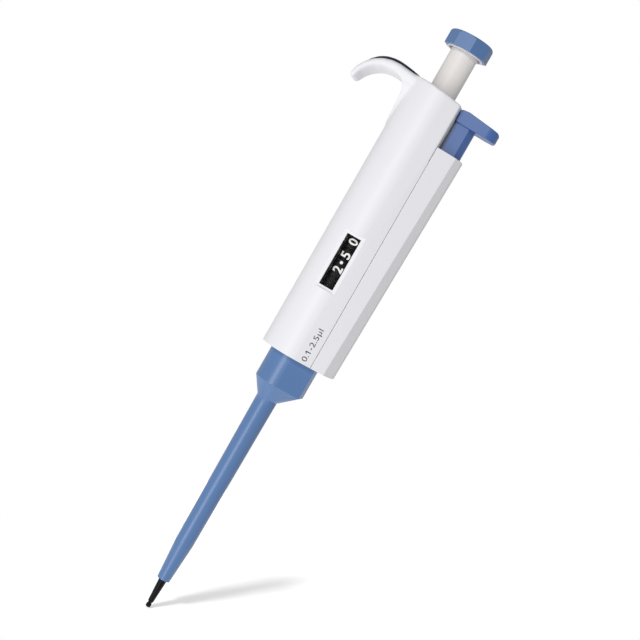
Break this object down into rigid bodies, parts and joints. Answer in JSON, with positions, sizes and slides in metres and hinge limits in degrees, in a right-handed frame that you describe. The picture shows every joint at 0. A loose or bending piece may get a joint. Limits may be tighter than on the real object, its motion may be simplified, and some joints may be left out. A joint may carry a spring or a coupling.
{
  "type": "single-channel micropipette",
  "caption": "Hand-held adjustable micropipette: white handle with finger hook and number window, push button with volume dial, blue ejector lever and sleeve, black tip cone.",
  "frame": {"origin": "centre of the lower end of the tip cone, on the plunger's axis", "axes": "+Z along the plunger's axis from the tip cone to the button; -X towards the finger hook; +X towards the ejector lever; -Y out of the counter window"},
  "size_m": [0.0576, 0.024, 0.236],
  "materials": {
    "white_abs": "moulded white ABS, fine satin sheen",
    "blue_abs": "moulded mid-blue plastic, satin",
    "dark_inlay": "soft dark blue inlay, matt",
    "clear_pane": "clear acrylic pane",
    "pale_pom": "turned pale acetal, satin",
    "black_pom": "moulded black acetal, printed white figures on the drums",
    "black_pvdf": "smooth black fluoropolymer, glossy",
    "shaft_pvdf": "natural fluoropolymer, satin",
    "white_pom": "white acetal",
    "seal_ptfe": "white PTFE",
    "seal_rubber": "black nitrile rubber",
    "steel": "stainless steel, drawn or turned",
    "brass": "turned brass"
  },
  "bodies": {
    "housing": {"main_housing": "white_abs", "ejector_cover": "white_abs", "hook_inlay": "dark_inlay", "counter_window": "clear_pane", "top_bush": "pale_pom", "screw_nut": "brass", "spring_seat": "steel", "blowout_ring": "pale_pom", "blowout_spring": "steel", "plunger_spring": "steel", "counter_tube": "black_pom", "blank_ring": "black_pom", "pinion_shaft": "steel", "shaft_carrier": "white_abs", "shaft_nut": "brass", "nozzle_shaft": "shaft_pvdf", "tip_cone": "black_pvdf", "piston_seal": "seal_ptfe", "seal_ring": "seal_rubber", "seal_retainer": "brass", "ejector_spring": "steel"},
    "volume_dial": {"drive_sleeve": "pale_pom", "drum_hundredths": "black_pom"},
    "tenths_drum": {"drum_tenths": "black_pom"},
    "units_drum": {"drum_units": "black_pom"},
    "tenths_pinion": {"pinion_tenths": "white_pom"},
    "units_pinion": {"pinion_units": "white_pom"},
    "volume_screw": {"volume_screw": "brass"},
    "plunger": {"button_cap": "blue_abs", "button_ring": "white_abs", "stem": "pale_pom", "stop_collar": "steel", "control_rod": "steel", "piston_rod": "steel", "piston_ferrule": "brass", "piston": "steel"},
    "tip_ejector": {"ejector_lever": "blue_abs", "ejector_rod": "steel", "ejector_foot": "steel", "foot_screw": "steel", "ejector_sleeve": "blue_abs"}
  },
  "joints": [
    {"name": "volume_dial", "type": "hinge", "parent": "housing", "child": "volume_dial", "pos_m": [0, 0, 0.1525], "axis": [0, 0, 1], "range_deg": [-1729, 0]},
    {"name": "tenths_drum", "type": "hinge", "parent": "housing", "child": "tenths_drum", "pos_m": [0, 0, 0.147], "axis": [0, 0, 1], "range_deg": [-865, 0]},
    {"name": "units_drum", "type": "hinge", "parent": "housing", "child": "units_drum", "pos_m": [0, 0, 0.141], "axis": [0, 0, 1], "range_deg": [-87, 0]},
    {"name": "tenths_pinion", "type": "hinge", "parent": "housing", "child": "tenths_pinion", "pos_m": [0, 0.00816, 0.1491], "axis": [0, 0, 1], "range_deg": [0, 3025]},
    {"name": "units_pinion", "type": "hinge", "parent": "housing", "child": "units_pinion", "pos_m": [0, 0.00816, 0.1452], "axis": [0, 0, 1], "range_deg": [0, 303]},
    {"name": "volume_screw", "type": "slide", "parent": "volume_dial", "child": "volume_screw", "axis": [0, 0, 1], "range_m": [-0.0096, 0]},
    {"name": "plunger", "type": "slide", "parent": "volume_dial", "child": "plunger", "axis": [0, 0, 1], "range_m": [-0.013, 0], "stiffness_N_per_m": 300, "springref_m": 0.01, "deforming": ["plunger_spring"]},
    {"name": "tip_ejector", "type": "slide", "parent": "housing", "child": "tip_ejector", "axis": [0, 0, 1], "range_m": [-0.01, 0], "stiffness_N_per_m": 250, "springref_m": 0.01, "deforming": ["ejector_spring"]}
  ],
  "couplings": [
    {"joint": "volume_dial", "follows": "volume_screw", "rad_per_m": 3141.6},
    {"joint": "tenths_drum", "follows": "volume_screw", "rad_per_m": 1570.8},
    {"joint": "units_drum", "follows": "volume_screw", "rad_per_m": 157.08},
    {"joint": "tenths_pinion", "follows": "volume_screw", "rad_per_m": -5497.8},
    {"joint": "units_pinion", "follows": "volume_screw", "rad_per_m": -549.78}
  ]
}
